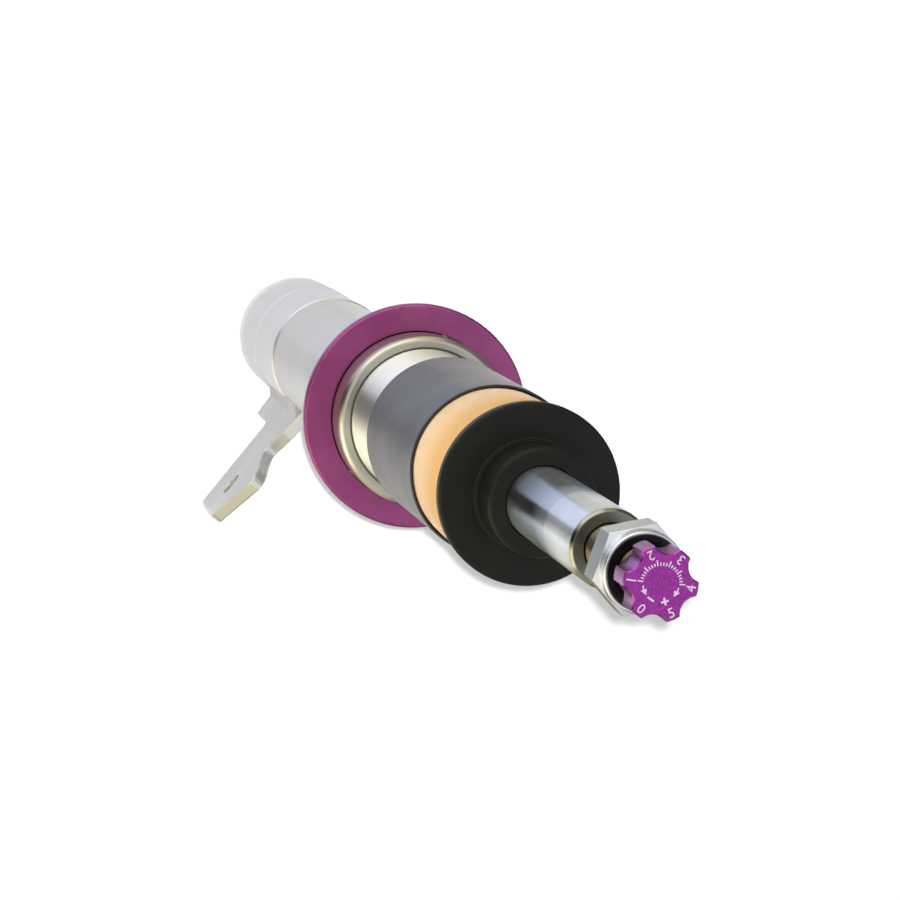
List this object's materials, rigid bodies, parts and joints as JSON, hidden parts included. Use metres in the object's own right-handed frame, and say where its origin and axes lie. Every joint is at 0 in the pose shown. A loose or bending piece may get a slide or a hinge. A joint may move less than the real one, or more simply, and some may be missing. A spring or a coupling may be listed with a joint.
{
  "type": "coilover strut damper",
  "caption": "Clamp-type strut damper with adjustable spring seat, link bracket, bump stop, dust sleeve and a lobed damping dial on the rod end.",
  "frame": {"origin": "on the strut axis at the middle of the clamped foot", "axes": "+Z along the strut axis towards the rod and dial, +X towards the link bracket, +Y completes the right-handed frame"},
  "size_m": [0.1266, 0.0828, 0.653],
  "materials": {
    "zinc_plated_steel": "satin zinc plate",
    "weld_metal": "welded, plated over",
    "polished_steel": "polished",
    "silver_anodised": "satin silver anodised",
    "purple_anodised": "satin purple anodised",
    "dial_purple": "bright purple anodised",
    "hard_chrome": "hard chrome, ground",
    "black_coat": "matte black",
    "amber_foam": "matte foam",
    "grey_sleeve": "matte",
    "black_nylon": "matte",
    "seal_rubber": "matte",
    "bright_steel": "turned",
    "spring_steel": "hardened",
    "sintered_iron": "sintered",
    "black_screw": "black oxide",
    "gland_steel": "turned, dark",
    "bearing_bronze": "sintered bronze",
    "needle_brass": "turned brass",
    "shaft_aluminium": "turned",
    "slide_band": "filled polymer"
  },
  "bodies": {
    "housing": {"housing_tube": "polished_steel", "foot_sleeve": "zinc_plated_steel", "base_cap": "zinc_plated_steel", "link_bracket": "zinc_plated_steel", "bracket_welds": "weld_metal", "threaded_sleeve": "silver_anodised", "sleeve_snap_ring": "spring_steel", "gland_nut": "gland_steel", "wiper_seal": "seal_rubber", "rod_seal": "seal_rubber", "rod_guide": "sintered_iron", "guide_bush": "bearing_bronze", "guide_oring": "seal_rubber", "inner_tube": "bright_steel", "foot_valve_body": "sintered_iron", "foot_valve_shims": "spring_steel", "foot_valve_bolt": "black_screw", "bump_stop": "amber_foam"},
    "stroke": {"piston_band": "slide_band"},
    "rod": {"piston_rod": "hard_chrome", "compression_shims": "spring_steel", "piston": "sintered_iron", "rebound_shims": "spring_steel", "piston_nut": "bright_steel", "rebound_stop_ring": "bright_steel", "rebound_bumper": "seal_rubber", "spacer_bush": "bright_steel", "bump_plate": "black_coat", "top_lock_nut": "bright_steel", "nut_insert": "black_nylon"},
    "dial": {"adjuster_dial": "dial_purple", "dial_screw": "black_screw", "adjuster_shaft": "shaft_aluminium", "detent_ball": "spring_steel", "detent_spring": "spring_steel"},
    "needle": {"rebound_needle": "needle_brass"},
    "dust_cover": {"dust_sleeve": "grey_sleeve"},
    "spring_seat_flange": {"spring_seat": "purple_anodised"},
    "seat_rings": {"adjuster_ring": "purple_anodised", "lock_ring": "purple_anodised", "lock_screw": "black_screw"}
  },
  "joints": [
    {"name": "rod_slide", "type": "slide", "parent": "housing", "child": "stroke", "axis": [0, 0, 1], "range_m": [-0.078, 0], "stiffness_N_per_m": 770, "springref_m": 0.156, "deforming": ["bump_stop"]},
    {"name": "steering_swivel", "type": "hinge", "parent": "stroke", "child": "rod", "pos_m": [0, 0, 0.542], "axis": [0, 0, 1], "range_deg": [-40, 40]},
    {"name": "adjuster_turn", "type": "hinge", "parent": "rod", "child": "dial", "pos_m": [0, 0, 0.614], "axis": [0, 0, 1], "range_deg": [-300, 0]},
    {"name": "needle_travel", "type": "slide", "parent": "rod", "child": "needle", "axis": [0, 0, 1], "range_m": [-0.00083333, 0]},
    {"name": "dust_sleeve_travel", "type": "slide", "parent": "housing", "child": "dust_cover", "axis": [0, 0, 1], "range_m": [-0.039, 0]},
    {"name": "seat_height", "type": "slide", "parent": "housing", "child": "spring_seat_flange", "axis": [0, 0, 1], "range_m": [-0.018, 0.006]},
    {"name": "ring_turn", "type": "hinge", "parent": "spring_seat_flange", "child": "seat_rings", "pos_m": [0, 0, 0.278], "axis": [0, 0, 1], "range_deg": [-3240, 1080]}
  ],
  "couplings": [
    {"joint": "adjuster_turn", "follows": "needle_travel", "rad_per_m": 6283.2},
    {"joint": "dust_sleeve_travel", "follows": "rod_slide", "ratio": 0.5},
    {"joint": "ring_turn", "follows": "seat_height", "rad_per_m": 3141.6}
  ]
}
